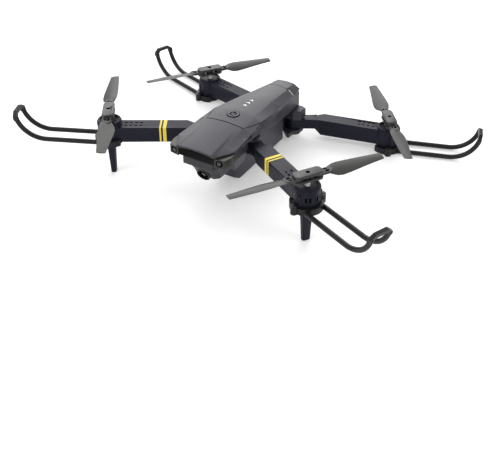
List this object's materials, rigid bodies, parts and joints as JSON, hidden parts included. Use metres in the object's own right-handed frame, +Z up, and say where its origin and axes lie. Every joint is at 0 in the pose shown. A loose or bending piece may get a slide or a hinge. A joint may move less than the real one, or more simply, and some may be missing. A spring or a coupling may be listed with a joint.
{
  "type": "folding camera quadcopter",
  "caption": "Palm-sized folding quadcopter with hinged arms, folding rotor blades, clip-on blade guards, front camera and slide-out battery.",
  "frame": {"origin": "middle of the outline with arms and guards spread, on the ground plane under the feet", "axes": "+Z up, nose towards -Y, left-hand side +X"},
  "size_m": [0.2826, 0.2134, 0.0497],
  "materials": {
    "body_shell": "fine moulded texture, anthracite",
    "arm_plastic": "satin, dark navy grey",
    "camera_shell": "satin, dark grey",
    "grille_black": "black, ribbed",
    "sensor_olive": "dark olive grey",
    "lens_glass": "dark coated glass",
    "button_grey": "dark grey, ringed",
    "light_white": "milky light guides",
    "circuit_green": "solder mask",
    "contact_brass": "plated contacts",
    "pin_steel": "ground pin",
    "screw_steel": "blackened screw",
    "battery_wrap": "heat-shrink wrap",
    "motor_can": "drawn can",
    "hub_black": "satin dark grey",
    "collar_white": "white moulded collar on a steel shaft",
    "blade_grey": "mid-dark grey, slightly glossy",
    "guard_plastic": "near-black grey, satin"
  },
  "bodies": {
    "airframe": {"hull": "body_shell", "rear_brackets": "body_shell", "nose_cover": "body_shell", "top_cover": "body_shell", "tail_cover": "body_shell", "front_grille": "grille_black", "corner_sensors": "sensor_olive", "sensor_lenses": "lens_glass", "camera_housing": "camera_shell", "lens_ring": "grille_black", "camera_lens": "lens_glass", "camera_sensor": "circuit_green", "circuit_board": "circuit_green", "battery_contacts": "contact_brass", "charge_lights": "light_white", "front_hinge_pins": "pin_steel", "rear_hinge_pins": "pin_steel", "case_screws": "screw_steel"},
    "button": {"power_button": "button_grey"},
    "battery": {"battery_pack": "battery_wrap", "battery_cap": "body_shell"},
    "front_arm_left": {"front_arm_left": "arm_plastic", "front_motor_left": "motor_can", "front_pod_cap_left": "arm_plastic", "landing_leg_left": "arm_plastic"},
    "front_rotor_left": {"front_hub_left": "hub_black", "front_spindle_left": "collar_white", "front_blade_pins_left": "pin_steel"},
    "front_blade_a_left": {"front_blade_a_left": "blade_grey"},
    "front_blade_b_left": {"front_blade_b_left": "blade_grey"},
    "front_guard_left": {"front_guard_left": "guard_plastic"},
    "rear_arm_left": {"rear_arm_left": "arm_plastic", "rear_motor_left": "motor_can", "rear_pod_cap_left": "arm_plastic"},
    "rear_rotor_left": {"rear_hub_left": "hub_black", "rear_spindle_left": "collar_white", "rear_blade_pins_left": "pin_steel"},
    "rear_blade_a_left": {"rear_blade_a_left": "blade_grey"},
    "rear_blade_b_left": {"rear_blade_b_left": "blade_grey"},
    "rear_guard_left": {"rear_guard_left": "guard_plastic"},
    "front_arm_right": {"front_arm_right": "arm_plastic", "front_motor_right": "motor_can", "front_pod_cap_right": "arm_plastic", "landing_leg_right": "arm_plastic"},
    "front_rotor_right": {"front_hub_right": "hub_black", "front_spindle_right": "collar_white", "front_blade_pins_right": "pin_steel"},
    "front_blade_a_right": {"front_blade_a_right": "blade_grey"},
    "front_blade_b_right": {"front_blade_b_right": "blade_grey"},
    "front_guard_right": {"front_guard_right": "guard_plastic"},
    "rear_arm_right": {"rear_arm_right": "arm_plastic", "rear_motor_right": "motor_can", "rear_pod_cap_right": "arm_plastic"},
    "rear_rotor_right": {"rear_hub_right": "hub_black", "rear_spindle_right": "collar_white", "rear_blade_pins_right": "pin_steel"},
    "rear_blade_a_right": {"rear_blade_a_right": "blade_grey"},
    "rear_blade_b_right": {"rear_blade_b_right": "blade_grey"},
    "rear_guard_right": {"rear_guard_right": "guard_plastic"}
  },
  "joints": [
    {"name": "button_press", "type": "slide", "parent": "airframe", "child": "button", "axis": [0, 0, -1], "range_m": [0, 0.0006], "stiffness_N_per_m": 400, "springref_m": -0.0004},
    {"name": "battery_slide", "type": "slide", "parent": "airframe", "child": "battery", "axis": [0, 1, 0], "range_m": [0, 0.052]},
    {"name": "front_fold_left", "type": "hinge", "parent": "airframe", "child": "front_arm_left", "pos_m": [0.0174, -0.0277, 0.0316], "axis": [0, 0, 1], "range_deg": [0, 115.4]},
    {"name": "front_spin_left", "type": "hinge", "parent": "front_arm_left", "child": "front_rotor_left", "pos_m": [0.0757, -0.062, 0.047], "axis": [0, 0, 1], "continuous": true},
    {"name": "front_blade_a_fold_left", "type": "hinge", "parent": "front_rotor_left", "child": "front_blade_a_left", "pos_m": [0.07961, -0.0562, 0.04695], "axis": [0, 0, -1], "range_deg": [0, 81.4]},
    {"name": "front_blade_b_fold_left", "type": "hinge", "parent": "front_rotor_left", "child": "front_blade_b_left", "pos_m": [0.07179, -0.0678, 0.04695], "axis": [0, 0, 1], "range_deg": [0, 98.6]},
    {"name": "front_guard_pull_left", "type": "slide", "parent": "front_arm_left", "child": "front_guard_left", "axis": [0, 0, -1], "range_m": [0, 0.08]},
    {"name": "rear_fold_left", "type": "hinge", "parent": "airframe", "child": "rear_arm_left", "pos_m": [0.01, 0.0427, 0.0122], "axis": [0, 0, -1], "range_deg": [0, 96.4]},
    {"name": "rear_spin_left", "type": "hinge", "parent": "rear_arm_left", "child": "rear_rotor_left", "pos_m": [0.077, 0.0632, 0.0235], "axis": [0, 0, 1], "continuous": true},
    {"name": "rear_blade_a_fold_left", "type": "hinge", "parent": "rear_rotor_left", "child": "rear_blade_a_left", "pos_m": [0.07279, 0.06879, 0.02345], "axis": [0, 0, -1], "range_deg": [0, 120.6]},
    {"name": "rear_blade_b_fold_left", "type": "hinge", "parent": "rear_rotor_left", "child": "rear_blade_b_left", "pos_m": [0.08121, 0.05761, 0.02345], "axis": [0, 0, 1], "range_deg": [0, 59.4]},
    {"name": "rear_guard_pull_left", "type": "slide", "parent": "rear_arm_left", "child": "rear_guard_left", "axis": [0, 0, -1], "range_m": [0, 0.08]},
    {"name": "front_fold_right", "type": "hinge", "parent": "airframe", "child": "front_arm_right", "pos_m": [-0.0174, -0.0277, 0.0316], "axis": [0, 0, -1], "range_deg": [0, 115.4]},
    {"name": "front_spin_right", "type": "hinge", "parent": "front_arm_right", "child": "front_rotor_right", "pos_m": [-0.0757, -0.062, 0.047], "axis": [0, 0, 1], "continuous": true},
    {"name": "front_blade_a_fold_right", "type": "hinge", "parent": "front_rotor_right", "child": "front_blade_a_right", "pos_m": [-0.07961, -0.0562, 0.04695], "axis": [0, 0, 1], "range_deg": [0, 81.4]},
    {"name": "front_blade_b_fold_right", "type": "hinge", "parent": "front_rotor_right", "child": "front_blade_b_right", "pos_m": [-0.07179, -0.0678, 0.04695], "axis": [0, 0, -1], "range_deg": [0, 98.6]},
    {"name": "front_guard_pull_right", "type": "slide", "parent": "front_arm_right", "child": "front_guard_right", "axis": [0, 0, -1], "range_m": [0, 0.08]},
    {"name": "rear_fold_right", "type": "hinge", "parent": "airframe", "child": "rear_arm_right", "pos_m": [-0.01, 0.0427, 0.0122], "axis": [0, 0, 1], "range_deg": [0, 96.4]},
    {"name": "rear_spin_right", "type": "hinge", "parent": "rear_arm_right", "child": "rear_rotor_right", "pos_m": [-0.077, 0.0632, 0.0235], "axis": [0, 0, 1], "continuous": true},
    {"name": "rear_blade_a_fold_right", "type": "hinge", "parent": "rear_rotor_right", "child": "rear_blade_a_right", "pos_m": [-0.07279, 0.06879, 0.02345], "axis": [0, 0, 1], "range_deg": [0, 120.6]},
    {"name": "rear_blade_b_fold_right", "type": "hinge", "parent": "rear_rotor_right", "child": "rear_blade_b_right", "pos_m": [-0.08121, 0.05761, 0.02345], "axis": [0, 0, -1], "range_deg": [0, 59.4]},
    {"name": "rear_guard_pull_right", "type": "slide", "parent": "rear_arm_right", "child": "rear_guard_right", "axis": [0, 0, -1], "range_m": [0, 0.08]}
  ],
  "couplings": [
    {"joint": "front_blade_a_fold_left", "follows": "front_fold_left", "ratio": 0.70537},
    {"joint": "front_blade_b_fold_left", "follows": "front_fold_left", "ratio": 0.85442},
    {"joint": "front_guard_pull_left", "follows": "front_fold_left", "m_per_rad": 0.03972},
    {"joint": "rear_blade_a_fold_left", "follows": "rear_fold_left", "ratio": 1.251},
    {"joint": "rear_blade_b_fold_left", "follows": "rear_fold_left", "ratio": 0.61618},
    {"joint": "rear_guard_pull_left", "follows": "rear_fold_left", "m_per_rad": 0.047548},
    {"joint": "front_blade_a_fold_right", "follows": "front_fold_right", "ratio": 0.70537},
    {"joint": "front_blade_b_fold_right", "follows": "front_fold_right", "ratio": 0.85442},
    {"joint": "front_guard_pull_right", "follows": "front_fold_right", "m_per_rad": 0.03972},
    {"joint": "rear_blade_a_fold_right", "follows": "rear_fold_right", "ratio": 1.251},
    {"joint": "rear_blade_b_fold_right", "follows": "rear_fold_right", "ratio": 0.61618},
    {"joint": "rear_guard_pull_right", "follows": "rear_fold_right", "m_per_rad": 0.047548}
  ]
}
